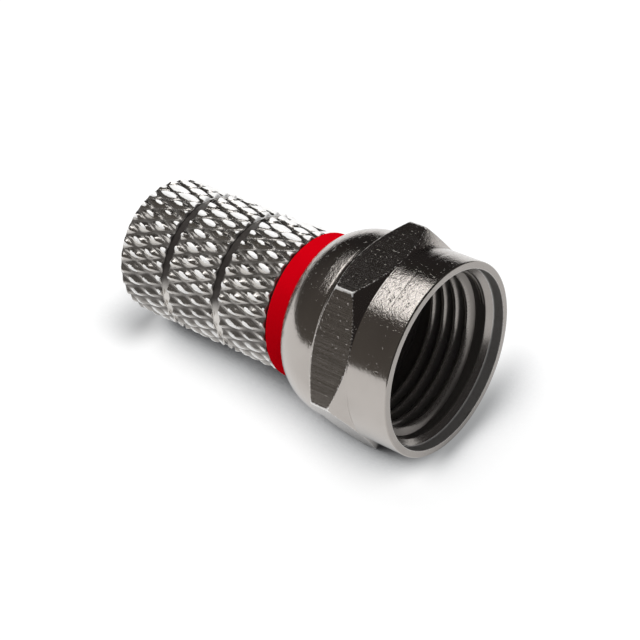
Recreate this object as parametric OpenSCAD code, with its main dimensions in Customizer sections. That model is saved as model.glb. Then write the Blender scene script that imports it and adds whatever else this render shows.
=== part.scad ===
// Twist-on F connector: a captive hexagon coupling nut that spins on a knurled
// cable sleeve, with a coloured marker ring on the neck between the two.
// The connector's axis is X and its mouth faces +X. The origin is the centre of
// the sleeve's front flange face, which is the mating reference plane, and two
// flats of the hexagon face +Z and -Z.

/* [Coupling nut] */
// Width of the hexagon across its flats
across_flats = 11.1; // [11.1:0.05:11.2]
// Overall length of the nut
nut_len = 7.76; // [7.7:0.02:7.9]
// Distance from the mating plane forward to the nut's mouth
mouth_reach = 5.9; // [5.85:0.01:5.95]
// Outside diameter of the round collar at the mouth
collar_d = 11.06; // [10.9:0.02:11.06]
// Diameter of the plain recess just inside the mouth
mouth_d = 10.2; // [10:0.05:10.4]
// Depth of the plain recess
mouth_depth = 0.6; // [0.4:0.05:0.8]
// Major diameter of the 3/8-32 UNEF coupling thread
thread_d = 9.525; // [9.45:0.025:9.6]
// Length of the threaded bore, ahead of the plain chamber the flange turns in
thread_len = 4.3; // [4.1:0.05:4.4]
// Distance from the mouth back to the hexagon's front chamfer
hex_start = 2.6; // [2.4:0.1:2.8]
// Length of the hexagon along the middle of a flat
hex_len = 2.32; // [2.2:0.02:2.5]
// Angle of the corner chamfers, from the hexagon's end faces
hex_chamfer_angle = 36; // [30:1:42]
// Diameter of the round skirt behind the hexagon
skirt_d = 10.9; // [10.8:0.02:10.9]
// Distance from the mouth back to where the skirt starts to curve in
skirt_straight = 5.6; // [5.4:0.05:5.7]
// Radius of the skirt's curved shoulder
skirt_round = 3.4; // [3.2:0.1:3.8]
// Thickness of the lip turned in behind the sleeve's flange
lip_thick = 0.86; // [0.8:0.02:0.9]
// Radius on the mouth's outer edge
rim_round = 0.1; // [0.06:0.02:0.14]

/* [Sleeve] */
// Overall length of the connector, from the nut's mouth to the sleeve's rear end
overall_len = 20.84; // [20:0.02:22]
// Diameter over the knurl
knurl_d = 8.5; // [8.4:0.02:8.6]
// Depth of the knurl
knurl_depth = 0.27; // [0.2:0.01:0.28]
// Diamonds round the sleeve
knurl_count = 30; // [24:1:36]
// Columns of diamonds along each band
knurl_columns = 3; // [2:1:4]
// Share of each diamond's width that is its flat top
knurl_flat = 0.46; // [0.2:0.02:0.7]
// Distance from the mouth back to the front end of the knurl
knurl_start = 9.45; // [9.4:0.05:9.6]
// Number of knurled bands
band_count = 3; // [2:1:3]
// Width of the plain turned groove between two bands
groove_w = 0.52; // [0.3:0.02:0.6]
// Diameter of the plain grooves' floors
core_d = 7.8; // [7.76:0.02:7.84]
// Length over which the knurl runs out round the rear edge
run_out = 0.46; // [0.4:0.02:0.6]
// Diameter of the neck that the nut turns on
neck_d = 7.5; // [7.4:0.02:7.54]
// Diameter of the front flange that holds the nut
flange_d = 8.5; // [8.4:0.02:8.6]
// Thickness of the front flange
flange_thick = 0.92; // [0.86:0.01:0.94]
// Diameter of the cable bore, at the root of its jacket thread
cable_d = 6.4; // [6.2:0.05:6.5]
// Diameter of the hole for the cable's inner insulation
core_hole_d = 4; // [3.6:0.1:4.8]
// Thickness of the wall between the cable bore and the mating plane
front_wall = 1.2; // [1:0.05:1.3]
// Depth of the lead-in cone at the cable end
lead_in = 0.4; // [0.3:0.02:0.5]

/* [Marker ring] */
// Outside diameter of the marker ring
marker_d = 8.6; // [8.5:0.02:8.7]
// Width of the marker ring
marker_w = 1.36; // [1.2:0.02:1.38]
// Radius on the ring's outer edges
marker_round = 0.1; // [0.05:0.01:0.15]

/* [Fits] */
// Radial running clearance between the neck and the nut's lip
neck_clearance = 0.07; // [0.04:0.01:0.1]
// Radial clearance between the flange and the chamber it turns in
chamber_clearance = 0.15; // [0.12:0.01:0.2]
// Radial clearance of the marker ring on the neck
marker_clearance = 0.02; // [0.01:0.01:0.05]

/* [Hidden] */
$fn = 96;
past = 1; // how far a cutting tool runs past the face it opens

nickel = [0.60, 0.59, 0.57];
sleeve_nickel = [0.66, 0.65, 0.63];
marker_red = [0.74, 0.02, 0.09];

// Places along the axis. Distances "from the mouth" run backwards, towards -X.
function from_mouth(distance) = mouth_reach - distance;
mouth_x = from_mouth(0);
nut_rear_x = from_mouth(nut_len);
rear_x = from_mouth(overall_len);
thread_front_x = from_mouth(mouth_depth) - (mouth_d - thread_d) / 2;
chamber_front_x = thread_front_x - thread_len;
chamber_rear_x = nut_rear_x + lip_thick;
shoulder_x = nut_rear_x - marker_w - 0.08;
knurl_front_x = from_mouth(knurl_start);
band_len = (knurl_front_x - rear_x - (band_count - 1) * groove_w) / band_count;

corner_r = across_flats / 2 / cos(30);
chamfer_rise = (corner_r - across_flats / 2) * tan(hex_chamfer_angle);
chamber_d = flange_d + 2 * chamber_clearance;
skirt_centre_r = skirt_d / 2 - skirt_round;
knurl_r = knurl_d / 2;
valley_r = knurl_r - knurl_depth;
band_inner_r = (cable_d + core_d) / 4 - 0.15; // hidden inside the sleeve's own wall

// Turns a profile drawn as [radius, x] about the connector's axis.
module turned() {
    rotate([0, 90, 0]) rotate_extrude() children();
}

// A solid bar's half profile with its front edge rounded: radius r, from x0 forward to x1.
module round_nosed(r, x0, x1, edge) {
    translate([0, x0]) square([r - edge, x1 - x0]);
    translate([0, x0]) square([r, x1 - x0 - edge]);
    translate([r - edge, x1 - edge]) circle(edge);
}

// ---- Coupling nut ----

// The hexagon, its corners chamfered by a cone at each end.
module nut_hexagon() {
    front_x = from_mouth(hex_start);
    rear_hex_x = front_x - hex_len;
    flat_r = across_flats / 2;
    intersection() {
        translate([rear_hex_x - past, 0, 0]) rotate([0, 90, 0]) rotate([0, 0, 30])
            cylinder(r = corner_r, h = hex_len + 2 * past, $fn = 6);
        turned() polygon([
            [0, front_x], [flat_r, front_x], [corner_r, front_x - chamfer_rise],
            [corner_r + past, front_x - chamfer_rise], [corner_r + past, rear_hex_x + chamfer_rise],
            [corner_r, rear_hex_x + chamfer_rise], [flat_r, rear_hex_x],
            [skirt_d / 2 - 0.05, rear_hex_x - 0.1], [0, rear_hex_x - 0.1]]);
    }
}

// Half profile of the skirt: straight behind the hexagon, then curved in to the rear lip.
module skirt_profile() {
    curve_x = from_mouth(skirt_straight);
    front_x = from_mouth(hex_start + hex_len / 2);
    translate([0, curve_x]) square([skirt_d / 2, front_x - curve_x]);
    intersection() {
        translate([skirt_centre_r, curve_x]) circle(skirt_round);
        translate([skirt_centre_r, nut_rear_x]) square([skirt_round + past, curve_x - nut_rear_x]);
    }
    translate([0, nut_rear_x]) square([skirt_centre_r + 0.01, curve_x - nut_rear_x + 0.01]);
}

// Everything bored out of the nut: mouth, thread root, flange chamber and lip hole.
module nut_bore_profile() {
    lip_r = neck_d / 2 + neck_clearance;
    polygon([
        [0, mouth_x + past], [mouth_d / 2, mouth_x + past], [mouth_d / 2, from_mouth(mouth_depth)],
        [thread_d / 2, thread_front_x], [thread_d / 2, chamber_front_x],
        [chamber_d / 2, chamber_front_x], [chamber_d / 2, chamber_rear_x],
        [lip_r, chamber_rear_x], [lip_r, nut_rear_x - past], [0, nut_rear_x - past]]);
}

module coupling_nut() {
    color(nickel) difference() {
        union() {
            turned() round_nosed(collar_d / 2, from_mouth(hex_start + hex_len / 2), mouth_x, rim_round);
            nut_hexagon();
            turned() skirt_profile();
        }
        turned() nut_bore_profile();
    }
}

// ---- Sleeve ----

// A point at radius r, angle a about the axis, and place x along it.
function around(r, a, x) = [x, r * cos(a), r * sin(a)];

// One band of diamond knurl as a thick ring, from front_x back over the given number of
// columns. Ring j of the lattice holds the valley crossings and, between them, one diamond
// each. Every diamond is a low pyramid with a flat top. Each entry [back, top, valley] of
// tail adds a ring behind the lattice, where the teeth run out straight over a rounded edge.
module knurl_band(front_x, length, columns, tail = []) {
    n = knurl_count;
    pitch = 360 / n;
    step = length / columns;
    per_ring = 5 * n; // crossings, two side tops, front top and rear top of each diamond
    function start(j) = pitch / 2 * (j % 2);
    function centre(j, k) = start(j) + (k + 0.5) * pitch;
    half_flat = knurl_flat * pitch / 2;
    lattice = [for (j = [0:columns]) let (x = front_x - j * step) each concat(
        [for (k = [0:n - 1]) around(valley_r, start(j) + k * pitch, x)],
        [for (k = [0:n - 1]) around(knurl_r, centre(j, k) - half_flat, x)],
        [for (k = [0:n - 1]) around(knurl_r, centre(j, k) + half_flat, x)],
        [for (k = [0:n - 1]) around(knurl_r, centre(j, k), j == 0 ? x : x + knurl_flat * step)],
        [for (k = [0:n - 1]) around(knurl_r, centre(j, k), j == columns ? x : x - knurl_flat * step)])];
    rear_x = front_x - length;
    tail_rings = [for (t = tail) each concat(
        [for (k = [0:n - 1]) around(t[2], start(columns) + k * pitch, rear_x - t[0])],
        [for (k = [0:n - 1]) around(t[1], centre(columns, k) - half_flat, rear_x - t[0])],
        [for (k = [0:n - 1]) around(t[1], centre(columns, k) + half_flat, rear_x - t[0])])];
    end_x = len(tail) == 0 ? rear_x : rear_x - tail[len(tail) - 1][0];
    inner = concat(
        [for (k = [0:n - 1]) around(band_inner_r, k * pitch, front_x)],
        [for (k = [0:n - 1]) around(band_inner_r, start(columns) + k * pitch, end_x)]);

    // Where each kind of point starts in the list
    function crossing(j, k) = j * per_ring + k % n;
    function low(j, k) = j * per_ring + n + k;
    function high(j, k) = j * per_ring + 2 * n + k;
    function fore(j, k) = j * per_ring + 3 * n + k;
    function aft(j, k) = j * per_ring + 4 * n + k;
    tail_at = (columns + 1) * per_ring;
    // Ring t of the tail, kind 0 to 2; ring -1 is the lattice's last ring
    function behind(t, kind, k) =
        (t < 0 ? columns * per_ring : tail_at + 3 * n * t) + kind * n + k % n;
    inner_at = tail_at + 3 * n * len(tail);
    function bore_front(k) = inner_at + k % n;
    function bore_rear(k) = inner_at + n + k % n;

    tops = [for (j = [0:columns], k = [0:n - 1])
        j == 0 ? [high(j, k), aft(j, k), low(j, k)] :
        j == columns ? [low(j, k), fore(j, k), high(j, k)] :
        [high(j, k), aft(j, k), low(j, k), fore(j, k)]];
    rear_slopes = [for (j = [0:columns - 1], k = [0:n - 1])
        let (tip = crossing(j + 1, k + (j % 2))) each [
            [crossing(j, k + 1), tip, aft(j, k), high(j, k)],
            [tip, crossing(j, k), low(j, k), aft(j, k)]]];
    front_slopes = [for (j = [1:columns], k = [0:n - 1])
        let (tip = crossing(j - 1, k + (j % 2))) each [
            [crossing(j, k), tip, fore(j, k), low(j, k)],
            [tip, crossing(j, k + 1), high(j, k), fore(j, k)]]];
    tail_faces = [for (t = [0:1:len(tail) - 1], k = [0:n - 1], s = [0:2])
        let (a = [behind(t - 1, s, k), behind(t, s, k)],
             b = s < 2 ? [behind(t - 1, s + 1, k), behind(t, s + 1, k)]
                       : [behind(t - 1, 0, k + 1), behind(t, 0, k + 1)])
        [b[0], b[1], a[1], a[0]]];
    last = len(tail) - 1;
    front_cap = [for (k = [0:n - 1])
        [bore_front(k + 1), crossing(0, k + 1), high(0, k), low(0, k), crossing(0, k), bore_front(k)]];
    rear_cap = [for (k = [0:n - 1])
        [bore_rear(k), behind(last, 0, k), behind(last, 1, k), behind(last, 2, k),
         behind(last, 0, k + 1), bore_rear(k + 1)]];
    wall = [for (k = [0:n - 1])
        [bore_front(k), bore_rear(k), bore_rear(k + 1), bore_front(k + 1)]];

    polyhedron(
        points = concat(lattice, tail_rings, inner),
        faces = concat(tops, rear_slopes, front_slopes, tail_faces, front_cap, rear_cap, wall),
        convexity = 10);
}

// The rear edge's rounding, as the tail of the last band.
edge_tail = [
    [run_out * 0.45, knurl_r - 0.07, valley_r - 0.01],
    [run_out * 0.8, knurl_r - 0.22, valley_r - 0.06],
    [run_out, knurl_r - 0.40, valley_r - 0.16]];

// Half profile of the sleeve's turned core: flange, neck, and the knurl's own wall.
module sleeve_core_profile() {
    translate([0, -flange_thick]) square([flange_d / 2, flange_thick]);
    translate([0, shoulder_x - past]) square([neck_d / 2, past - shoulder_x - flange_thick / 2]);
    translate([0, rear_x + lead_in / 3]) square([core_d / 2, shoulder_x - rear_x - lead_in / 3]);
}

// The bores: inner-insulation hole, cable bore and its lead-in cone.
module sleeve_bore_profile() {
    cable_r = cable_d / 2;
    polygon([
        [0, past], [core_hole_d / 2, past], [core_hole_d / 2, -front_wall],
        [cable_r, -front_wall], [cable_r, rear_x + lead_in],
        [cable_r + lead_in + past, rear_x - past], [0, rear_x - past]]);
}

module sleeve() {
    color(sleeve_nickel) difference() {
        union() {
            turned() sleeve_core_profile();
            for (b = [0:band_count - 1]) let (is_last = b == band_count - 1)
                knurl_band(knurl_front_x - b * (band_len + groove_w),
                    is_last ? band_len - run_out : band_len, knurl_columns,
                    is_last ? edge_tail : []);
        }
        turned() sleeve_bore_profile();
    }
}

// ---- Marker ring ----

module marker_ring() {
    inner_r = neck_d / 2 + marker_clearance;
    outer_r = marker_d / 2;
    color(marker_red) turned() {
        translate([inner_r, shoulder_x]) square([outer_r - marker_round - inner_r, marker_w]);
        translate([inner_r, shoulder_x + marker_round])
            square([outer_r - inner_r, marker_w - 2 * marker_round]);
        for (x = [marker_round, marker_w - marker_round])
            translate([outer_r - marker_round, shoulder_x + x]) circle(marker_round);
    }
}

sleeve();
coupling_nut();
marker_ring();
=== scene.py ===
"""A twist-on F connector: hexagon coupling nut, knurled cable sleeve and red marker ring.

Each sub-assembly is a class that holds its own sizes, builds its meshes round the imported
solids and dresses them. Its sizes are in millimetres, along the connector's axis X, from the
mating plane at the front face of the sleeve's flange. Finishes, lamps and the studio are in
metres, apart from the values that say otherwise. Angles about the axis run from +Y towards +Z.
"""

import logging
import math
from dataclasses import dataclass, field
from enum import Enum
from typing import Any, Optional, Sequence, Union

import bpy
import numpy as np
from mathutils import Matrix, Vector


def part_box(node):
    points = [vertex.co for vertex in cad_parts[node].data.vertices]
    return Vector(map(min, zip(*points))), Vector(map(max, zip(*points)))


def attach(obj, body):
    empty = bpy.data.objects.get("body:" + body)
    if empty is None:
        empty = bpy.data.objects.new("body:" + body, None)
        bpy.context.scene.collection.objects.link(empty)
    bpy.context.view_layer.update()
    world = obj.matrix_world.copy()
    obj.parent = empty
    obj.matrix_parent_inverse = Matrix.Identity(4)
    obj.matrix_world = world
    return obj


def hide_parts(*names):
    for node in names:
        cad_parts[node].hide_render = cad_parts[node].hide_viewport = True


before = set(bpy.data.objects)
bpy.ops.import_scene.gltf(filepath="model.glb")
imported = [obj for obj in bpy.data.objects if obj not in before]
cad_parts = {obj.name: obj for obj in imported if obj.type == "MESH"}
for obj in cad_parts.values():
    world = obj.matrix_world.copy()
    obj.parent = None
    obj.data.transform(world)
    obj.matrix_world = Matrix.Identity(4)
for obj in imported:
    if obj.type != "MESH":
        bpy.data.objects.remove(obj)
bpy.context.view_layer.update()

log = logging.getLogger("f_connector")
MM = 0.001
Triple = tuple[float, float, float]
Colour = Triple
Span = tuple[float, float]
Stops = Sequence[tuple[float, Colour]]


# ---------------------------------------------------------------------------
# Shader building
# ---------------------------------------------------------------------------


class Mask(Enum):
    """The masks that a mesh carries on its points and its finish reads."""

    FLAT = "flat"  # the hexagon's flats, where the drawn bar's lines show
    DIRT_AND_SHADE = "crevice"  # where soiling gathers and shade is painted into recesses, knurl valleys and joins
    WEAR_AND_HIGHLIGHT = "wear"  # where the plating is abraded and highlights are painted pale on edges and knurl tops


class Signal:
    """A socket in a material's node tree, used like a number in shader maths."""

    def __init__(self, graph: "Graph", socket: bpy.types.NodeSocket) -> None:
        """Wraps one output socket of a graph."""
        self.graph = graph
        self.socket = socket

    def _math(self, operation: str, first: Any, second: Any = None) -> "Signal":
        """Adds one Math node.

        Args:
            operation: the Math node's operation.
            first: its first value, a Signal or a number.
            second: its second value, if it has one.

        Returns:
            The node's result.
        """
        values = {0: first} if second is None else {0: first, 1: second}
        return self.graph.node("ShaderNodeMath", {"operation": operation}, values)

    def __add__(self, other: Any) -> "Signal":
        """Sum."""
        return self._math("ADD", self, other)

    __radd__ = __add__

    def __sub__(self, other: Any) -> "Signal":
        """Difference."""
        return self._math("SUBTRACT", self, other)

    def __rsub__(self, other: Any) -> "Signal":
        """Difference, reflected."""
        return self._math("SUBTRACT", other, self)

    def __mul__(self, other: Any) -> "Signal":
        """Product."""
        return self._math("MULTIPLY", self, other)

    __rmul__ = __mul__

    def at_most(self, other: Any) -> "Signal":
        """The lesser of the two."""
        return self._math("MINIMUM", self, other)

    def at_least(self, other: Any) -> "Signal":
        """The greater of the two."""
        return self._math("MAXIMUM", self, other)

    def between(self, low: float, high: float) -> "Signal":
        """A smooth step from 0 at low to 1 at high.

        Args:
            low: where the step starts.
            high: where it ends.

        Returns:
            The step.
        """
        settings = {"interpolation_type": "SMOOTHSTEP"}
        return self.graph.node("ShaderNodeMapRange", settings, {0: self, 1: low, 2: high})


class Graph:
    """Builds one material's or the world's node tree."""

    def __init__(self, tree: bpy.types.NodeTree) -> None:
        """Empties the tree.

        Args:
            tree: the node tree to build in.
        """
        self.tree = tree
        tree.nodes.clear()

    def node(
        self,
        kind: str,
        settings: Optional[dict[str, Any]] = None,
        values: Optional[dict[Union[int, str], Any]] = None,
        output: Union[int, str] = 0,
    ) -> Signal:
        """Adds a node.

        Args:
            kind: the node's type.
            settings: its properties, set before its sockets; "stops" fills a colour ramp.
            values: a value or a Signal for each input socket, by name or number.
            output: which output to return.

        Returns:
            The chosen output.
        """
        made = self.tree.nodes.new(kind)
        for name, setting in (settings or {}).items():
            if name == "stops":
                self._fill_ramp(made.color_ramp, setting)
            else:
                setattr(made, name, setting)
        for key, value in (values or {}).items():
            socket = made.inputs[key]
            if isinstance(value, Signal):
                self.tree.links.new(value.socket, socket)
            elif isinstance(value, tuple) and len(value) == 3 and socket.type == "RGBA":
                socket.default_value = (*value, 1.0)
            else:
                socket.default_value = value
        return Signal(self, made.outputs[output] if len(made.outputs) else None)

    @staticmethod
    def _fill_ramp(ramp: bpy.types.ColorRamp, stops: Stops) -> None:
        """Sets a colour ramp's stops.

        Args:
            ramp: the ramp.
            stops: each stop's place and colour.
        """
        while len(ramp.elements) < len(stops):
            ramp.elements.new(1.0)
        for element, (place, colour) in zip(ramp.elements, stops):
            element.position = place
            element.color = (*colour, 1.0)

    def mix_colour(self, amount: Any, first: Any, second: Any) -> Signal:
        """Mixes two colours.

        Args:
            amount: 0 for the first colour, 1 for the second.
            first: a colour or a Signal.
            second: a colour or a Signal.

        Returns:
            The mixed colour.
        """
        return self.node(
            "ShaderNodeMix", {"data_type": "RGBA"}, {0: amount, 6: first, 7: second}, 2
        )

    def place(self, scale: Union[float, Triple], offset: Triple = (0.0, 0.0, 0.0)) -> Signal:
        """The point on the piece, scaled.

        Args:
            scale: cycles a metre, one number or one each along X, Y and Z.
            offset: a shift of the result.

        Returns:
            A vector for a texture.
        """
        point = self.node("ShaderNodeTexCoord", None, None, "Object")
        stretch = scale if isinstance(scale, tuple) else (scale, scale, scale)
        return self.node(
            "ShaderNodeVectorMath", {"operation": "MULTIPLY_ADD"},
            {0: point, 1: stretch, 2: offset},
        )

    def along(self, axis: int, unit: float = MM) -> Signal:
        """The point's place along one axis.

        Args:
            axis: 0, 1 or 2 for X, Y or Z.
            unit: what counts as 1, in metres.

        Returns:
            The place.
        """
        return self.node("ShaderNodeSeparateXYZ", None, {0: self.place(1 / unit)}, axis)

    def noise(self, vector: Signal, detail: float = 2.0, rough: float = 0.5) -> Signal:
        """Fractal noise between 0 and 1.

        Args:
            vector: where to read it, in cycles.
            detail: octaves.
            rough: how strong the finer octaves are.

        Returns:
            The noise.
        """
        return self.node(
            "ShaderNodeTexNoise", None,
            {"Vector": vector, "Scale": 1.0, "Detail": detail, "Roughness": rough}, "Fac",
        )

    def ramp(self, amount: Signal, stops: Stops) -> Signal:
        """A colour ramp.

        Args:
            amount: where to read it.
            stops: each stop's place and colour.

        Returns:
            The colour.
        """
        return self.node("ShaderNodeValToRGB", {"stops": stops}, {0: amount})

    def mix_surface(self, amount: Signal, first: Signal, second: Signal) -> Signal:
        """Mixes two surfaces.

        Args:
            amount: 0 for the first surface, 1 for the second.
            first: a surface.
            second: a surface.

        Returns:
            The mixed surface.
        """
        return self.node("ShaderNodeMixShader", None, {0: amount, 1: first, 2: second})

    def bump(self, height: Signal) -> Signal:
        """The surface's normal, bent by a height in metres."""
        values = {"Strength": 1.0, "Distance": 1.0, "Height": height}
        return self.node("ShaderNodeBump", None, values)

    def mask(self, kind: Mask) -> Signal:
        """A mask stored on the mesh's points."""
        settings = {"attribute_name": kind.value, "attribute_type": "GEOMETRY"}
        return self.node("ShaderNodeAttribute", settings, None, "Fac")


def new_material(name: str) -> tuple[bpy.types.Material, Graph]:
    """Makes an empty material.

    Args:
        name: its name.

    Returns:
        The material and its graph.
    """
    material = bpy.data.materials.new(name)
    material.use_nodes = True
    return material, Graph(material.node_tree)


# ---------------------------------------------------------------------------
# Finishes
# ---------------------------------------------------------------------------


@dataclass(frozen=True)
class NickelPlate:
    """Bright nickel over machined brass, with tool marks, pits, a little tarnish, painted shade in its
    hollows and painted highlights on its abraded spots.

    A scale is in cycles a metre and a depth in metres. A span holds the two values of a noise
    between which the mark that it makes comes in.
    """

    name: str
    plate: Colour = (0.447, 0.417, 0.390)
    tarnish: Colour = (0.34, 0.315, 0.29)
    # the colour of soiling and of the shade painted into recesses, knurl valleys and joins
    grime_and_shade: Colour = (0.075, 0.066, 0.061)
    # the pale colour of abraded spots, which also paints highlights on edges, rims and knurl tops
    worn_and_highlit: Colour = (0.80, 0.785, 0.765)
    roughness: float = 0.12
    grain_rough: float = 0.05  # what the grain adds to the roughness
    flat_rough: float = 0.06
    grime_rough: float = 0.3
    worn_rough: float = 0.2
    highlit_wear_metal: float = 0.6  # how metallic an abraded spot with its painted highlight still is
    grime_and_shade_cover: float = 0.3  # how far soiling and painted shade hide the metal
    cloud_scale: float = 350.0
    cloud_span: Span = (0.42, 0.75)
    cloud_tarnish: float = 0.35
    upper_span: Span = (4.2, 6.6)  # heights in mm over which the upper side's grain and painted glints come in
    upper_drift: float = 4.0  # how far clouds shift those heights, in mm
    grain_scale: float = 9000.0
    grain_span: Span = (0.3, 0.8)
    grain_depth: float = 1.2e-6
    top_grain: float = 9.0e-6  # more of it on the upper side's round parts
    streak_scale: Triple = (3200.0, 1300.0, 1300.0)  # short streaks left by turning
    streak_depth: float = 7.0e-6
    drawn_scale: Triple = (200.0, 7500.0, 7500.0)  # lines along the drawn bar
    drawn_depth: float = 4.0e-6
    line_span: Span = (0.38, 0.62)
    line_tarnish: float = 0.9
    mark_scale: Triple = (1900.0, 40.0, 40.0)  # single tool marks that run round
    mark_depth: float = 4.0e-6
    mark_span: Span = (0.60, 0.70)
    speckle_scale: float = 5200.0
    pit_depth: float = 9.0e-6
    pit_span: Span = (0.64, 0.76)
    low_pits: float = 0.2  # how deep pits are on the lower side, as a share
    glint_span: Span = (0.70, 0.80)
    # pale painted glints on the flats' upper side
    glint: float = 0.35
    scuff_gain: float = 1.6  # how readily an abraded place and its painted highlight show, against the grain
    scuff_span: Span = (0.1, 0.5)

    def build(self) -> bpy.types.Material:
        """Makes the material.

        Returns:
            The material.
        """
        material, graph = new_material(self.name)
        flats, crevice, wear = (
            graph.mask(kind) for kind in (Mask.FLAT, Mask.DIRT_AND_SHADE, Mask.WEAR_AND_HIGHLIGHT))
        cloud = graph.noise(graph.place(self.cloud_scale), 3.0)
        upper = (graph.along(2) + cloud * self.upper_drift).between(*self.upper_span)
        grain = graph.noise(graph.place(self.grain_scale), 3.0, 0.6)
        drawn = graph.noise(graph.place(self.drawn_scale), 3.0, 0.7)
        speckle = graph.noise(graph.place(self.speckle_scale, (7.0, 3.0, 1.0)), 1.0)
        lines = drawn.between(*self.line_span) * flats
        dull = cloud.between(*self.cloud_span) * self.cloud_tarnish + lines * self.line_tarnish
        # painted glints: pale specks on the flats, only on their upper side
        glints = speckle.between(*self.glint_span) * flats * upper * self.glint
        scuff_and_highlight = (wear * self.scuff_gain + grain - 1.0).between(*self.scuff_span).at_least(glints)
        colour = graph.mix_colour(dull.at_most(1.0), self.plate, self.tarnish)
        # paints highlights on abraded spots with the pale colour
        colour = graph.mix_colour(scuff_and_highlight, colour, self.worn_and_highlit)
        # paints shade into recesses with the dark colour, together with soiling
        colour = graph.mix_colour(crevice, colour, self.grime_and_shade)
        rough = (
            grain.between(*self.grain_span) * self.grain_rough + flats * self.flat_rough
            + crevice * self.grime_rough + scuff_and_highlight * self.worn_rough + self.roughness
        )
        surface = graph.node("ShaderNodeBsdfPrincipled", None, {
            "Base Color": colour,
            "Metallic": 1.0 - scuff_and_highlight * (1.0 - self.highlit_wear_metal) - crevice * self.grime_and_shade_cover,
            "Roughness": rough,
            "Normal": self._relief(graph, flats, upper, grain, drawn, speckle),
        })
        graph.node("ShaderNodeOutputMaterial", None, {"Surface": surface})
        return material

    def _relief(self, graph: Graph, flats: Signal, upper: Signal, grain: Signal, drawn: Signal,
                speckle: Signal) -> Signal:
        """The fine relief that the tools and wear left.

        Args:
            graph: the material's graph.
            flats: the mask of the hexagon's flats.
            upper: the mask of the upper side.
            grain: the fine grain.
            drawn: the lines along the bar.
            speckle: the noise that places the pits.

        Returns:
            The bent normal.
        """
        streaks = graph.noise(graph.place(self.streak_scale), 3.0, 0.6)
        marks = graph.noise(graph.place(self.mark_scale), 1.0).between(*self.mark_span)
        pits = speckle.between(*self.pit_span) * (upper * (1.0 - self.low_pits) + self.low_pits)
        round_share = 1.0 - flats
        return graph.bump(
            grain * (upper * round_share * self.top_grain + self.grain_depth)
            + streaks * round_share * self.streak_depth
            + drawn * flats * self.drawn_depth
            - pits * self.pit_depth
            - marks * round_share * self.mark_depth
        )


@dataclass(frozen=True)
class RingPlastic:
    """Flat saturated plastic with the faintest moulded grain."""

    name: str
    colour: Colour = (0.48, 0.0003, 0.0050)
    deep: Colour = (0.45, 0.0002, 0.0045)
    roughness: float = 0.75
    cloud_rough: float = 0.1  # what the clouds add to it
    cloud_scale: float = 500.0  # cycles a metre
    cloud_span: Span = (0.35, 0.75)
    grain_scale: float = 7000.0
    grain_depth: float = 1.5e-6  # metres

    def build(self) -> bpy.types.Material:
        """Makes the material.

        Returns:
            The material.
        """
        material, graph = new_material(self.name)
        cloud = graph.noise(graph.place(self.cloud_scale), 2.0)
        grain = graph.noise(graph.place(self.grain_scale), 2.0)
        surface = graph.node("ShaderNodeBsdfPrincipled", None, {
            "Base Color": graph.mix_colour(cloud.between(*self.cloud_span), self.colour, self.deep),
            "Roughness": cloud * self.cloud_rough + self.roughness,
            "Specular IOR Level": 0.0,
            "Normal": graph.bump(grain * self.grain_depth),
        })
        graph.node("ShaderNodeOutputMaterial", None, {"Surface": surface})
        return material


# ---------------------------------------------------------------------------
# Turned forms
# ---------------------------------------------------------------------------


class PatchNoise:
    """Smooth noise over a grid of seeded values that wraps round in both directions."""

    def __init__(self, seed: int, cells: int = 64) -> None:
        """Draws the values.

        Args:
            seed: picks the values.
            cells: how many there are each way before they repeat.
        """
        self.cells = cells
        self.values = np.random.default_rng(seed).uniform(-1.0, 1.0, (cells, cells))

    def at(self, u: np.ndarray, v: np.ndarray) -> np.ndarray:
        """Reads the noise.

        Args:
            u: place one way, in cells.
            v: place the other way, in cells.

        Returns:
            Values between -1 and 1.
        """
        i, j = np.floor(u).astype(int), np.floor(v).astype(int)
        s, t = u - i, v - j
        s, t = s * s * (3 - 2 * s), t * t * (3 - 2 * t)
        n = self.cells
        low = self.values[i % n, j % n] * (1 - s) + self.values[(i + 1) % n, j % n] * s
        high = self.values[i % n, (j + 1) % n] * (1 - s) + self.values[(i + 1) % n, (j + 1) % n] * s
        return low * (1 - t) + high * t


@dataclass
class Corner:
    """A corner of a turned profile. Its place may differ from column to column.

    Args:
        x: place along the axis.
        r: radius.
        cut: how far back the corner's rounding starts.
        flat: the share of hexagon flat between this corner and the next.
        wear: how far the corner's rounding is abraded and carries a painted highlight.
        crevice: how much soiling and painted shade the wall between this corner and the next has.
        rubbed_and_highlit: how far that wall is abraded and carries a painted highlight.
    """

    x: Any
    r: Any
    cut: float = 0.03
    flat: float = 0.0
    wear: Any = 0.0
    crevice: float = 0.0
    rubbed_and_highlit: Any = 0.0


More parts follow.
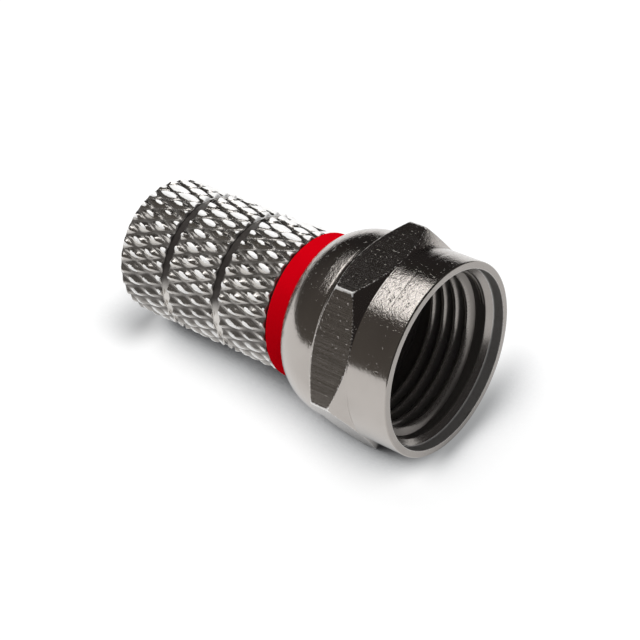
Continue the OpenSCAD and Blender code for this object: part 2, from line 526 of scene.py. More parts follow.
@dataclass
class Lathe:
    """Rows of points turned about the axis, one row after another round a closed profile."""

    angles: np.ndarray
    x: list[np.ndarray] = field(default_factory=list)
    r: list[np.ndarray] = field(default_factory=list)
    flat: list[np.ndarray] = field(default_factory=list)
    crevice: list[np.ndarray] = field(default_factory=list)
    wear: list[np.ndarray] = field(default_factory=list)

    def row(self, x: Any, r: Any, flat: Any = 0.0, crevice: Any = 0.0, wear: Any = 0.0) -> None:
        """Adds one row.

        Args:
            x: place along the axis, one number or one for each column.
            r: radius, likewise.
            flat: mask of the hexagon's flats.
            crevice: mask of where soiling gathers and shade is painted.
            wear: mask of where the plating is abraded and highlights are painted.
        """
        stores = (self.x, self.r, self.flat, self.crevice, self.wear)
        for store, value in zip(stores, (x, r, flat, crevice, wear)):
            store.append(np.broadcast_to(np.asarray(value, float), self.angles.shape).copy())

    def corners(self, profile: Sequence[Corner], steps: int = 3, guard: float = 0.04,
                closed: bool = False) -> None:
        """Adds rows that follow a profile, each corner rounded, with a guard row beside it
        that keeps the faces between corners flat.

        Args:
            profile: the corners in order.
            steps: pieces in each rounding.
            guard: distance from the rounding to its guard row.
            closed: whether the last corner leads back to the first.
        """
        size = self.angles.shape
        points = [np.stack([np.broadcast_to(c.x, size), np.broadcast_to(c.r, size)]).astype(float)
                  for c in profile]
        count = len(points)
        for i, corner in enumerate(profile):
            at = points[i]
            if not corner.cut or not closed and i in (0, count - 1):
                self.row(at[0], at[1], corner.flat, corner.crevice, corner.rubbed_and_highlit)
                continue
            back, ahead = points[i - 1] - at, points[(i + 1) % count] - at
            back_len, ahead_len = np.hypot(*back), np.hypot(*ahead)
            back, ahead = back / back_len, ahead / ahead_len
            cut = np.minimum(corner.cut, 0.4 * np.minimum(back_len, ahead_len))
            before = profile[i - 1]
            wide = np.minimum(cut + guard, 0.48 * back_len)
            self.row(*(at + back * wide), before.flat, before.crevice, before.rubbed_and_highlit)
            for step in range(steps + 1):
                s = step / steps
                point = at + back * cut * (1 - s) ** 2 + ahead * cut * s ** 2
                flat = before.flat * (1 - s) + corner.flat * s
                crevice = before.crevice * (1 - s) + corner.crevice * s
                self.row(*point, flat, crevice, np.maximum(corner.wear, corner.rubbed_and_highlit))
            wide = np.minimum(cut + guard, 0.48 * ahead_len)
            self.row(*(at + ahead * wide), corner.flat, corner.crevice, corner.rubbed_and_highlit)

    def build(self, name: str) -> bpy.types.Object:
        """Makes the mesh, its last row joined to the first.

        Args:
            name: the piece's name.

        Returns:
            The piece.
        """
        x, r = np.array(self.x) * MM, np.array(self.r) * MM
        points = np.stack([x, r * np.cos(self.angles), r * np.sin(self.angles)], -1)
        rows, columns = x.shape
        grid = np.arange(rows * columns).reshape(rows, columns)
        quads = join_rows(grid, np.roll(grid, -1, 0))
        piece = mesh_piece(name, points.reshape(-1, 3), quads)
        masks = {Mask.FLAT: self.flat, Mask.DIRT_AND_SHADE: self.crevice, Mask.WEAR_AND_HIGHLIGHT: self.wear}
        for kind, values in masks.items():
            store_mask(piece, kind, np.array(values).ravel())
        return piece


def even_angles(count: int) -> np.ndarray:
    """Evenly spaced angles of a lathe's columns, in radians."""
    return np.arange(count) / count * 2 * math.pi


def join_rows(rows: np.ndarray, following: np.ndarray) -> list[list[int]]:
    """Makes the faces between rows of points, each row closed round.

    Args:
        rows: the points' numbers, one line for each row.
        following: the numbers in the row that follows each of them.

    Returns:
        The point numbers of each face.
    """
    quads = [rows, following, np.roll(following, -1, 1), np.roll(rows, -1, 1)]
    return np.stack(quads, -1).reshape(-1, 4).tolist()


def link_mesh(name: str, points: list, faces: list) -> bpy.types.Object:
    """Makes a mesh and links it to the scene.

    Args:
        name: its name.
        points: the vertices, in metres.
        faces: the vertex numbers of each face.

    Returns:
        The object that holds it.
    """
    mesh = bpy.data.meshes.new(name)
    mesh.from_pydata(points, [], faces)
    holder = bpy.data.objects.new(name, mesh)
    bpy.context.scene.collection.objects.link(holder)
    return holder


def mesh_piece(name: str, points: np.ndarray, faces: list) -> bpy.types.Object:
    """Makes a smooth-shaded piece with its faces turned outwards.

    Args:
        name: the piece's name.
        points: the vertices, in metres.
        faces: the vertex numbers of each face.

    Returns:
        The piece, linked to the scene.
    """
    piece = link_mesh(name, points.tolist(), faces)
    mesh = piece.data
    mesh.polygons.foreach_set("use_smooth", np.ones(len(mesh.polygons), bool))
    mesh.update()
    if signed_volume(mesh) < 0:
        mesh.flip_normals()
    return piece


def store_mask(piece: bpy.types.Object, kind: Mask, values: np.ndarray) -> None:
    """Stores a mask on a mesh's points.

    Args:
        piece: the piece.
        kind: which mask.
        values: its value at each point.
    """
    layer = piece.data.attributes.new(kind.value, "FLOAT", "POINT")
    layer.data.foreach_set("value", values.astype(np.float32))


def signed_volume(mesh: bpy.types.Mesh) -> float:
    """The volume inside a closed mesh, below 0 if its faces point inwards.

    Args:
        mesh: the mesh.

    Returns:
        The volume in cubic metres.
    """
    mesh.calc_loop_triangles()
    corners = np.empty(len(mesh.loop_triangles) * 3, np.int32)
    mesh.loop_triangles.foreach_get("vertices", corners)
    points = np.empty(len(mesh.vertices) * 3, np.float32)
    mesh.vertices.foreach_get("co", points)
    a, b, c = points.reshape(-1, 3)[corners.reshape(-1, 3)].transpose(1, 0, 2).astype(float)
    return float(np.einsum("ij,ij->i", a, np.cross(b, c)).sum() / 6)


@dataclass
class ThreadRidge:
    """The ridge of an internal thread, wound along a bore's wall.

    Args:
        front_x: where the ridge starts.
        rear_x: where it ends.
        root_r: radius of the bore's wall.
        crest_r: radius at the ridge's crest.
        pitch: advance in one turn.
        crest_share: the crest's width, as a share of the pitch.
        root_share: the ridge's width at the wall, likewise.
        sink: how deep the ridge's foot is set into the wall.
        fillet: how far the foot reaches past the flank.
        run_in: turns over which the ridge rises at each end.
        end_width: its width at the very end, as a share.
        steps: rings in one turn.
        grime_and_shade: soiling and painted shade on the flanks.
        crest_spared: how much of that darkening the crest is spared.
    """

    front_x: float
    rear_x: float
    root_r: float
    crest_r: float
    pitch: float
    crest_share: float = 0.2
    root_share: float = 0.84
    sink: float = 0.05
    fillet: float = 0.02
    run_in: float = 0.3
    end_width: float = 0.35
    steps: int = 96
    grime_and_shade: float = 0.65
    crest_spared: float = 0.6

    def _section(self) -> list[Span]:
        """The ridge's section, from its front foot over the crest to its rear foot.

        Returns:
            Each point's place ahead of the middle, and its rise off the wall.
        """
        half_crest, half_root = self.crest_share * self.pitch / 2, self.root_share * self.pitch / 2
        depth = self.root_r - self.crest_r
        flank = half_root - half_crest
        section = [(half_root, -self.sink), (half_root - self.fillet, 0.0)]
        section += [(half_crest + flank * share, depth * (1 - share)) for share in (0.5, 0.12)]
        section += [(half_crest * 0.45, depth)]
        return section + [(-x, rise) for x, rise in reversed(section)]

    def build(self, name: str) -> bpy.types.Object:
        """Makes the ridge's mesh.

        Args:
            name: the piece's name.

        Returns:
            The piece.
        """
        section = self._section()
        half_root = self.root_share * self.pitch / 2
        turns = (self.front_x - self.rear_x - 2 * half_root) / self.pitch
        count = round(turns * self.steps)
        t = np.linspace(0.0, turns, count + 1)
        fade = np.clip(np.minimum(t, turns - t) / self.run_in, 0.0, 1.0)
        fade = fade * fade * (3 - 2 * fade)
        angle = 2 * math.pi * t
        centre = self.front_x - half_root - self.pitch * t
        lines = []
        for offset, rise in section:
            radius = self.root_r - (rise * fade if rise > 0 else rise)
            width = offset * (self.end_width + (1 - self.end_width) * fade)
            lines.append(np.stack(
                [centre + width, radius * np.cos(angle), radius * np.sin(angle)], -1))
        points = np.stack(lines, 1) * MM
        sides = len(section)
        grid = np.arange((count + 1) * sides).reshape(count + 1, sides)
        caps = [grid[0][::-1].tolist(), grid[-1].tolist()]
        faces = join_rows(grid[:-1], grid[1:]) + caps
        piece = mesh_piece(name, points.reshape(-1, 3), faces)
        depth = self.root_r - self.crest_r
        rise = np.clip(np.array([rise for _, rise in section]) / depth, 0.0, 1.0)
        soil_and_shade = self.grime_and_shade * (1 - self.crest_spared * rise ** 3)
        store_mask(piece, Mask.DIRT_AND_SHADE, np.tile(soil_and_shade, count + 1))
        return piece


def dress(piece: bpy.types.Object, material: bpy.types.Material, body: str, slot: str,
          *nodes: str) -> bpy.types.Object:
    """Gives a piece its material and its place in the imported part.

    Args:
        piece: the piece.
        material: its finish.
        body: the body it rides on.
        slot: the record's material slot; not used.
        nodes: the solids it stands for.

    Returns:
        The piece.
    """
    piece.data.materials.clear()
    piece.data.materials.append(material)
    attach(piece, body)
    if nodes:
        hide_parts(*nodes)
    return piece


# ---------------------------------------------------------------------------
# Coupling nut
# ---------------------------------------------------------------------------


HALF_FLAT = math.pi / 6  # the angle from a flat's middle to its corner


@dataclass
class CouplingNut:
    """The hexagon nut that spins on the sleeve and screws onto the port."""

    mouth_x: float
    rear_x: float
    flat_r: float
    collar_r: float = 5.53
    mouth_r: float = 5.1
    mouth_depth: float = 0.6
    thread_r: float = 4.7625  # at the thread's root
    thread_len: float = 4.3
    thread_crest_r: float = 4.34
    thread_pitch: float = 25.4 / 32
    thread_lead: float = 0.12  # how far the ridge starts ahead of the plain root
    hex_start: float = 2.6  # from the mouth
    hex_len: float = 2.32  # along the middle of a flat
    chamfer_angle: float = 36.0
    skirt_r: float = 5.45
    skirt_straight: float = 5.6  # from the mouth to where the skirt curves in
    skirt_round: float = 3.4
    skirt_first: float = 0.06  # radians into the curve at its first point
    skirt_steps: int = 22
    skirt_shade_and_dirt: float = 0.12  # soiling and painted shade at the lip, by the ring
    plain_skirt_share: float = 0.8  # the share of the curve before soiling and painted shade come in
    chamber_r: float = 4.4
    lip_r: float = 3.82
    lip_thick: float = 0.86
    bore_ease: float = 0.04  # how far the edges in the bore are eased
    rim_ease: float = 0.05  # the same on the recess and at the collar's foot
    rim_round: float = 0.09  # the same on the rim's outer edge
    edge_ease: float = 0.045  # the same on the chamfers
    skirt_ease: float = 0.16  # the same where the skirt meets the hexagon
    lip_ease: float = 0.10  # the same on the rear lip
    corner_round: float = 0.10  # radius on the hexagon's six long corners
    columns_a_flat: int = 36
    corner_span: Span = (28.6, 29.4)  # degrees from a flat's middle over which abrasion and painted highlight come in at its corners
    # abrasion and painted highlight along the hexagon's edges
    edge_wear_and_highlight: float = 0.42
    corner_wear_and_highlight: float = 0.45  # more of it where an edge meets a corner

    @classmethod
    def from_frame(cls) -> "CouplingNut":
        """Takes the nut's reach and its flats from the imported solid.

        Returns:
            The nut.
        """
        low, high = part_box("coupling_nut")
        corner_r = high.y / MM
        return cls(mouth_x=high.x / MM, rear_x=low.x / MM, flat_r=corner_r * math.cos(HALF_FLAT))

    @property
    def root_x(self) -> float:
        """Where the thread's root starts, behind the recess and its cone."""
        return self.mouth_x - self.mouth_depth - (self.mouth_r - self.thread_r)

    def _angles(self) -> tuple[np.ndarray, np.ndarray]:
        """Column angles, closer together at the hexagon's corners.

        Returns:
            The angles about the axis, and each one's angle from the middle of its flat.
        """
        half, even_from = math.degrees(HALF_FLAT), 2.5
        close = np.array([0.0, 0.16, 0.32, 0.5, 0.9, 1.6])  # degrees from the corner
        middle = np.linspace(even_from - half, half - even_from, self.columns_a_flat)
        one = np.concatenate([close - half, middle, half - close[:0:-1]])
        flats = np.arange(6) * 2 * half
        from_flat = np.tile(one, 6)
        angles = (flats[:, None] + one[None, :]).ravel() + 90.0
        return np.radians(angles), np.radians(from_flat)

    def _hexagon(self, from_flat: np.ndarray) -> np.ndarray:
        """Radius of the hexagon with its corners rounded.

        Args:
            from_flat: angles from the middle of a flat.

        Returns:
            The radius at each.
        """
        rounding = self.corner_round
        centre = (self.flat_r - rounding) / math.cos(HALF_FLAT)
        from_corner = HALF_FLAT - np.abs(from_flat)
        reach = math.atan2(
            rounding * math.sin(HALF_FLAT), centre + rounding * math.cos(HALF_FLAT))
        inside = np.clip(rounding ** 2 - (centre * np.sin(from_corner)) ** 2, 0.0, None)
        arc = centre * np.cos(from_corner) + np.sqrt(inside)
        return np.where(from_corner < reach, arc, self.flat_r / np.cos(from_flat))

    def _skirt(self) -> list[Corner]:
        """The curve from the skirt's straight part to the rear lip, darkened towards the lip by soiling
        and painted shade.

        Returns:
            Its points, the last of them on the rear face.
        """
        curve_x = self.mouth_x - self.skirt_straight
        centre_r = self.skirt_r - self.skirt_round
        end = math.asin((curve_x - self.rear_x) / self.skirt_round)
        plain_share = self.plain_skirt_share
        return [
            Corner(curve_x - self.skirt_round * math.sin(turn),
                   centre_r + self.skirt_round * math.cos(turn),
                   0.0,
                   crevice=self.skirt_shade_and_dirt * max(0.0, turn / end - plain_share) / (1.0 - plain_share))
            for turn in np.linspace(self.skirt_first, end, self.skirt_steps)
        ]

    def build(self) -> bpy.types.Object:
        """Makes the nut's mesh.

        Returns:
            The piece.
        """
        angles, from_flat = self._angles()
        hexagon = self._hexagon(from_flat)
        slope = math.tan(math.radians(self.chamfer_angle))
        front = self.mouth_x - self.hex_start
        rear = front - self.hex_len
        rise = (hexagon - self.flat_r) * slope
        chamber_x = self.root_x - self.thread_len
        lip_x = self.rear_x + self.lip_thick
        *skirt, lip_edge = self._skirt()
        start, end = self.corner_span
        at_corner = np.clip((np.abs(np.degrees(from_flat)) - start) / (end - start), 0.0, 1.0)
        worn_and_highlit = self.edge_wear_and_highlight + self.corner_wear_and_highlight * at_corner
        lathe = Lathe(angles)
        bore, rim, edge = self.bore_ease, self.rim_ease, self.edge_ease
        # the bore, the recess and the chamber are darkened by painted shade with soiling, and the rim
        # and the hexagon's edges lightened by painted highlights with abrasion
        lathe.corners([
            Corner(self.root_x, self.thread_r, bore, crevice=0.3),
            Corner(self.mouth_x - self.mouth_depth, self.mouth_r, rim, wear=0.7, crevice=0.82,
                   rubbed_and_highlit=0.62),
            Corner(self.mouth_x, self.mouth_r, rim, wear=0.5, crevice=0.30),
            Corner(self.mouth_x, self.collar_r, self.rim_round, wear=0.3),
            Corner(front + (self.flat_r - self.collar_r) * slope, self.collar_r, rim),
            Corner(front - rise, hexagon, edge, flat=1.0, wear=worn_and_highlit, rubbed_and_highlit=at_corner * 0.6),
            Corner(rear + rise, hexagon, edge, wear=worn_and_highlit),
            Corner(rear - (self.flat_r - self.skirt_r) * slope, self.skirt_r, self.skirt_ease),
            *skirt,
            Corner(self.rear_x, lip_edge.r, self.lip_ease),
            Corner(self.rear_x, self.lip_r, bore, crevice=0.5),
            Corner(lip_x, self.lip_r, bore, crevice=0.8),
            Corner(lip_x, self.chamber_r, bore, crevice=0.9),
            Corner(chamber_x, self.chamber_r, bore, crevice=0.9),
            Corner(chamber_x, self.thread_r, crevice=0.9),
        ], closed=True)
        return lathe.build("coupling_nut_shell")

    def build_thread(self) -> bpy.types.Object:
        """Makes the coupling thread's ridge.

        Returns:
            The piece.
        """
        ridge = ThreadRidge(
            front_x=self.root_x + self.thread_lead, rear_x=self.root_x - self.thread_len,
            root_r=self.thread_r, crest_r=self.thread_crest_r, pitch=self.thread_pitch)
        return ridge.build("coupling_thread")

    def assemble(self) -> list[bpy.types.Object]:
        """Builds and dresses the nut.

        Returns:
            Its pieces.
        """
        plate = NickelPlate("nut_nickel").build()
        shell = dress(self.build(), plate, "nut", "nut_nickel", "coupling_nut")
        thread = dress(self.build_thread(), plate, "nut", "nut_nickel")
        return [shell, thread]


# ---------------------------------------------------------------------------
# Knurled sleeve
# ---------------------------------------------------------------------------


class Side(Enum):
    """A side of the sleeve with painted light and shade of its own.

    Each value is the side's middle, and how far from it the side ends and starts to fade, all
    in degrees about the axis.
    """

    # the upper side, where the knurl's tops carry broad painted highlights
    LIT = (61.0, 58.0, 22.0)
    # the lower front side, with painted shade between the knurl's tops
    SHADED = (215.0, 65.0, 35.0)
    # where the grooves' floors carry painted shade
    GROOVE_SHADE = (126.0, 48.0, 32.0)
    # where the grooves' walls carry a painted highlight
    GROOVE_HIGHLIGHT = (52.0, 38.0, 26.0)

    def mask(self, angles: np.ndarray) -> np.ndarray:
        """A mask of this side.

        Args:
            angles: the column angles, in radians.

        Returns:
            The mask at each column.
        """
        middle, end, start = self.value
        away = np.abs((np.degrees(angles) - middle + 180) % 360 - 180)
        return np.clip((end - away) / (end - start), 0.0, 1.0)


@dataclass(frozen=True)
class KnurlWearAndLight:
    """How the knurl's diamonds are abraded pale with painted highlights, and where soiling and painted
    shade lie between them.

    Args:
        glint_bow: how blunt a bright spot is across and along the diamond.
        glint_narrow: how much narrower it is across its second way.
        start: the height on the diamond from which it is bright.
        lit_side: how much lower that is on the lit side.
        shaded_side: how much lower it is on the shaded side.
        spread: how far it differs from diamond to diamond.
        fade: the height over which brightness comes in.
        soil_and_shade: soiling and painted shade in the valleys.
        lit_side_lift: how much of that the lit side is spared.
        valley: how narrow the darkened strip is.
        lower_shade: painted shade between the bright spots on the shaded side.
    """

    glint_bow: Span = (2.4, 1.3)
    glint_narrow: float = 2.0
    start: float = 0.52
    lit_side: float = 0.36
    shaded_side: float = 0.22
    spread: float = 0.22
    fade: float = 0.4
    soil_and_shade: float = 0.5
    lit_side_lift: float = 0.45
    valley: float = 2.2
    lower_shade: float = 0.42

    def masks(self, angles: np.ndarray, across: tuple[np.ndarray, np.ndarray],
              pillow: np.ndarray, diamond: np.ndarray) -> dict[str, np.ndarray]:
        """The abrasion with its painted highlights, and the soiling with its painted shade, along one
        ring.

        Args:
            angles: the column angles.
            across: place in the diamond, -1 to 1 both ways.
            pillow: height on its cushion, 0 to 1.
            diamond: the diamond's own number, -1 to 1.

        Returns:
            The masks of each column, by the names of a lathe's row.
        """
        # the lit side gets broad painted highlights, and the shaded side painted shade between its
        # highlights
        lit_side, shaded_side = Side.LIT.mask(angles), Side.SHADED.mask(angles)
        bow_p, bow_q = self.glint_bow
        glint = 1 - np.abs(across[0]) ** bow_p
        glint = glint * (1 - self.glint_narrow * np.abs(across[1]) ** bow_q)
        glint = glint * (1 - lit_side) + pillow * lit_side
        start = self.start - self.lit_side * lit_side - self.shaded_side * shaded_side
        wear = np.clip((glint + self.spread * diamond - start) / self.fade, 0.0, 1.0)
        soil_and_shade = (self.soil_and_shade - self.lit_side_lift * lit_side) * np.clip(1 - pillow * self.valley, 0.0, 1.0)
        return {"crevice": soil_and_shade + self.lower_shade * shaded_side * (1 - wear), "wear": wear}


@dataclass
class KnurledSleeve:
    """The turned sleeve that screws onto the cable's jacket."""

    rear_x: float
    flange_r: float
    mouth_x: float
    knurl_r: float = 4.25
    knurl_depth: float = 0.27
    count: int = 30  # diamonds round the sleeve
    columns: int = 3  # half diamonds along a band
    bow: float = 1.6  # how square a diamond's cushion is
    uneven: float = 0.10  # how much lower the lowest diamonds are, as a share
    dimple: float = 0.16  # depth of the deepest dimple in a diamond's top, as a share
    dimple_start: float = 0.72  # height on the cushion from which it is dimpled
    dimpled: float = 0.2  # the more, the more of the diamonds are dimpled
    wander: float = 0.035  # how far the valleys wander, in diamonds
    wander_rate: float = 0.7  # how often they do in half a diamond's length
    chatter: float = 0.016  # height of the marks that the knurling wheel left
    chatter_rate: float = 7.0  # how often they come in a mm
    knurl_start: float = 9.45  # from the mouth
    bands: int = 3
    groove_w: float = 0.52
    core_r: float = 3.9
    groove_r: float = 3.98
    bevel: float = 0.08  # on the edges of a band
    foot: float = 0.02  # the lowest row of a band's end wall, above the groove's floor
    wall_shade_and_dirt: float = 0.6  # painted shade with soiling on a band's front wall, as a share of the groove's
    foot_shade_and_dirt: float = 0.5  # the same at the foot of a band's rear wall
    edge_shade_and_dirt: float = 0.3  # the same at that wall's edge
    # a painted highlight on the upper side of the groove walls
    groove_highlight_strength: float = 0.95
    run_out: float = 0.46  # the rear edge's rounding
    run_out_rings: tuple[float, ...] = (0.0, 0.12, 0.25, 0.37, 0.5, 0.62, 0.73, 0.82, 0.9, 0.96, 1.0)
    neck_r: float = 3.75
    shoulder_from_mouth: float = 9.2
    flange_thick: float = 0.92
    cable_r: float = 3.2
    hole_r: float = 2.0
    front_wall: float = 1.2
    lead_in: float = 0.4
    lead_land: float = 0.1  # flat rear face round the lead-in
    ease: float = 0.03  # on the lead-in's edges
    samples: int = 14  # columns in a diamond's width, and rings in half its length
    jacket_pitch: float = 1.3
    jacket_crest_r: float = 2.92
    jacket_front: float = 0.6  # from the front wall to where the jacket thread starts
    jacket_rear: float = 0.1  # from the lead-in to where it ends
    hole_ease: float = 0.05  # on the front edges of the hole and the flange
    # the knurl's painted highlights and painted shade, with its abrasion and soiling
    knurl_wear_and_light: KnurlWearAndLight = KnurlWearAndLight()
    wander_noise: PatchNoise = field(default_factory=lambda: PatchNoise(11, 12))
    diamond_noise: PatchNoise = field(default_factory=lambda: PatchNoise(5, 60))
    chatter_noise: PatchNoise = field(default_factory=lambda: PatchNoise(3))

    @classmethod
    def from_frame(cls) -> "KnurledSleeve":
        """Takes the sleeve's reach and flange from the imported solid."""
        low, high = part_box("sleeve")
        return cls(rear_x=low.x / MM, flange_r=high.z / MM, mouth_x=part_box("coupling_nut")[1].x / MM)

    def _surface(self, angles: np.ndarray, x: float, front: float, step: float) -> dict[str, Any]:
        """The knurl along one ring.

        Args:
            angles: the column angles.
            x: the ring's place.
            front: the band's front end.
            step: half a diamond's length.

        Returns:
            The place, radius and masks of each column, as a row of the lathe.
        """
        turn = angles / (2 * math.pi)
        u, v = turn * self.count, (front - x) / step
        wander = self.wander * self.wander_noise.at(
            turn * self.wander_noise.cells, np.full_like(turn, v * self.wander_rate + front))
        p, q = u - v / 2 + wander, u + v / 2 - wander
        across_p, across_q = 2 * (p - np.floor(p)) - 1, 2 * (q - np.floor(q)) - 1
        pillow = (1 - np.abs(across_p) ** self.bow) * (1 - np.abs(across_q) ** self.bow)
        row, column = np.floor(q) - np.floor(p), np.floor(p) + np.floor(q)
        own_rows = 17.0 + round(front * 3)  # each band has diamonds of its own
        diamond = self.diamond_noise.at(np.mod(column, 2 * self.count), row + own_rows)
        dimple = np.clip((pillow - self.dimple_start) / (1 - self.dimple_start), 0.0, 1.0) ** 2
        dimple = dimple * np.clip(diamond + self.dimpled, 0.0, 1.0)
        height = pillow * (1.0 - self.uneven * np.abs(diamond)) - self.dimple * dimple
        chatter = self.chatter * self.chatter_noise.at(
            turn * self.chatter_noise.cells, np.full_like(turn, x * self.chatter_rate))
        radius = self.knurl_r - self.knurl_depth * (1 - height) + chatter * pillow
        if x < self.rear_x + self.run_out:
            back = 1 - (x - self.rear_x) / self.run_out
            limit = self.knurl_r - self.run_out * (1 - math.sqrt(max(0.0, 1 - back * back)))
            radius = np.minimum(radius, limit)
        masks = self.knurl_wear_and_light.masks(angles, (across_p, across_q), pillow, diamond)
        return {"x": x, "r": np.minimum(radius, self.knurl_r), **masks}

    def build(self) -> bpy.types.Object:
        """Makes the sleeve's mesh.

        Returns:
            The piece.
        """
        lathe = Lathe(even_angles(self.count * self.samples))
        shoulder = self.mouth_x - self.shoulder_from_mouth
        first = self.mouth_x - self.knurl_start
        length = (first - self.rear_x - (self.bands - 1) * self.groove_w) / self.bands
        step = length / self.columns
        # the hole, the flange's face and the knurl's front by the ring are darkened by painted shade
        # with soiling
        lathe.corners([
            Corner(-self.front_wall, self.cable_r),
            Corner(-self.front_wall, self.hole_r, crevice=0.7),
            Corner(0.0, self.hole_r, self.hole_ease, crevice=0.6),
            Corner(0.0, self.flange_r, self.hole_ease, crevice=0.6),
            Corner(-self.flange_thick, self.flange_r),
            Corner(-self.flange_thick, self.neck_r),
            Corner(shoulder, self.neck_r),
            Corner(shoulder, self.core_r),
            Corner(first, self.core_r, crevice=0.6),
        ], steps=2)
        for band in range(self.bands):
            front = first - band * (length + self.groove_w)
            self._band(lathe, front, front - length, step, band)
        lead_r = self.cable_r + self.lead_in
        lathe.row(self.rear_x, lead_r + self.lead_land)
        lathe.row(self.rear_x, lead_r + self.ease)
        lathe.row(self.rear_x + self.ease, lead_r - self.ease)
        lathe.row(self.rear_x + self.lead_in - self.ease, self.cable_r + self.ease)
        lathe.row(self.rear_x + self.lead_in + self.ease, self.cable_r)
        return lathe.build("knurled_sleeve")

    def _places(self, front: float, rear: float, final: bool) -> list[float]:
        """Where a band's rings lie.

        Args:
            front: the band's front end.
            rear: its rear end.
            final: whether it runs out over the rounded rear edge.

        Returns:
            The places from front to rear.
        """
        rings = self.columns * self.samples
        places = [front - (front - rear) * ring / rings for ring in range(rings + 1)]
        places = [x for x in places if rear + self.bevel < x < front - self.bevel]
        places = [front - self.bevel, *places, rear + self.bevel]
        if final:
            clear = rear + self.run_out + 0.02  # leaves room for the run-out's first ring
            places = [x for x in places if x > clear]
            places += [rear + self.run_out * (1 - back) for back in self.run_out_rings]
        return places

    def _band(self, lathe: Lathe, front: float, rear: float, step: float, band: int) -> None:
        """Adds the rows of one knurled band, with the groove's edges or the rounded end.

        Args:
            lathe: the sleeve's lathe.
            front: the band's front end.
            rear: its rear end.
            step: half a diamond's length.
            band: its number, 0 at the front.
        """
        final = band == self.bands - 1
        rings = [self._surface(lathe.angles, x, front, step)
                 for x in self._places(front, rear, final)]
        floor_r, foot_r = self.groove_r, self.groove_r + self.foot
        least_r = foot_r + self.foot
        # paints shade into one side of the grooves' floors and walls, and a highlight onto their walls'
        # upper side
        groove_shade = Side.GROOVE_SHADE.mask(lathe.angles)
        soil_and_shade = groove_shade if band else 1.0
        groove_highlight = Side.GROOVE_HIGHLIGHT.mask(lathe.angles) * self.groove_highlight_strength if band else 0.0
        if band:
            lathe.row(front + self.bevel, floor_r, crevice=soil_and_shade)
            lathe.row(front, floor_r, crevice=soil_and_shade, wear=groove_highlight)
        lathe.row(front, foot_r, crevice=soil_and_shade, wear=groove_highlight)
        edge_r = np.maximum(rings[0]["r"] - self.bevel, least_r)
        lathe.row(front, edge_r, crevice=soil_and_shade * self.wall_shade_and_dirt, wear=groove_highlight)
        for ring in rings:
            lathe.row(**ring)
        if not final:
            edge_r = np.maximum(rings[-1]["r"] - self.bevel, least_r)
            lathe.row(rear, edge_r, crevice=self.edge_shade_and_dirt)
            lathe.row(rear, foot_r, crevice=self.foot_shade_and_dirt)
            lathe.row(rear, floor_r, crevice=self.foot_shade_and_dirt)
            lathe.row(rear - self.bevel, floor_r, crevice=groove_shade)

    def build_thread(self) -> bpy.types.Object:
        """Makes the jacket thread's ridge.

        Returns:
            The piece.
        """
        ridge = ThreadRidge(
            front_x=-self.front_wall - self.jacket_front,
            rear_x=self.rear_x + self.lead_in + self.jacket_rear,
            root_r=self.cable_r, crest_r=self.jacket_crest_r, pitch=self.jacket_pitch,
            crest_share=0.1, root_share=0.6, steps=64)
        return ridge.build("jacket_thread")

    def assemble(self) -> list[bpy.types.Object]:
        """Builds and dresses the sleeve.

        Returns:
            Its pieces.
        """
        # the near-white abraded colour with little metal paints the knurl's highlights
        plate = NickelPlate(
            "sleeve_nickel", plate=(0.60, 0.575, 0.545), worn_and_highlit=(0.93, 0.92, 0.905),
            roughness=0.17, highlit_wear_metal=0.2, top_grain=2.0e-6).build()
        shell = dress(self.build(), plate, "cable_sleeve", "sleeve_nickel", "sleeve")
        thread = dress(self.build_thread(), plate, "cable_sleeve", "sleeve_nickel")
        return [shell, thread]


# ---------------------------------------------------------------------------
# Marker ring
# ---------------------------------------------------------------------------


@dataclass
class MarkerRing:
    """The coloured ring on the neck, between the nut and the knurl."""

    front_x: float
    rear_x: float
    outer_r: float
    inner_r: float = 3.77
    edge: float = 0.1
    columns: int = 192

    @classmethod
    def from_frame(cls) -> "MarkerRing":
        """Takes the ring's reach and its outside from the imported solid."""
        low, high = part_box("marker_ring")
        return cls(front_x=high.x / MM, rear_x=low.x / MM, outer_r=high.z / MM)

    def build(self) -> bpy.types.Object:
        """Makes the ring's mesh.

        Returns:
            The piece.
        """
        lathe = Lathe(even_angles(self.columns))
        lathe.corners([
            Corner(self.front_x, self.inner_r),
            Corner(self.front_x, self.outer_r, self.edge),
            Corner(self.rear_x, self.outer_r, self.edge),
            Corner(self.rear_x, self.inner_r),
        ], closed=True)
        return lathe.build("red_marker_ring")

    def assemble(self) -> list[bpy.types.Object]:
        """Builds and dresses the ring.

        Returns:
            Its piece.
        """
        red = RingPlastic("marker_red").build()
        return [dress(self.build(), red, "cable_sleeve", "marker_red", "marker_ring")]


# ---------------------------------------------------------------------------
# Studio
# ---------------------------------------------------------------------------


@dataclass(frozen=True)
class Lamp:
    """A soft box, placed by its direction from the part.

    Args:
        name: its name.
        toward: direction from the part to the lamp.
        distance: how far off it is, in metres.
        width: its side along the connector's axis, in metres.
        length: its other side.
        radiance: how bright its face is, where 1 is white.
        mirrored: whether bare metal reflects it.
    """

    name: str
    toward: Triple
    distance: float
    width: float
    length: float
    radiance: float
    mirrored: bool = True

    def light(self) -> None:
        """Adds the lamp."""
        data = bpy.data.lights.new(self.name, "AREA")
        data.shape = "RECTANGLE"
        data.size = self.width
        data.size_y = self.length
        data.energy = self.radiance * math.pi * self.width * self.length
        lamp = bpy.data.objects.new(self.name, data)
        out = Vector(self.toward).normalized()
        along = (Vector((1, 0, 0)) - out * out.x).normalized()
        turn = Matrix((along, out.cross(along), out)).transposed()
        lamp.matrix_world = Matrix.Translation(out * self.distance) @ turn.to_4x4()
        lamp.visible_glossy = self.mirrored
        bpy.context.scene.collection.objects.link(lamp)


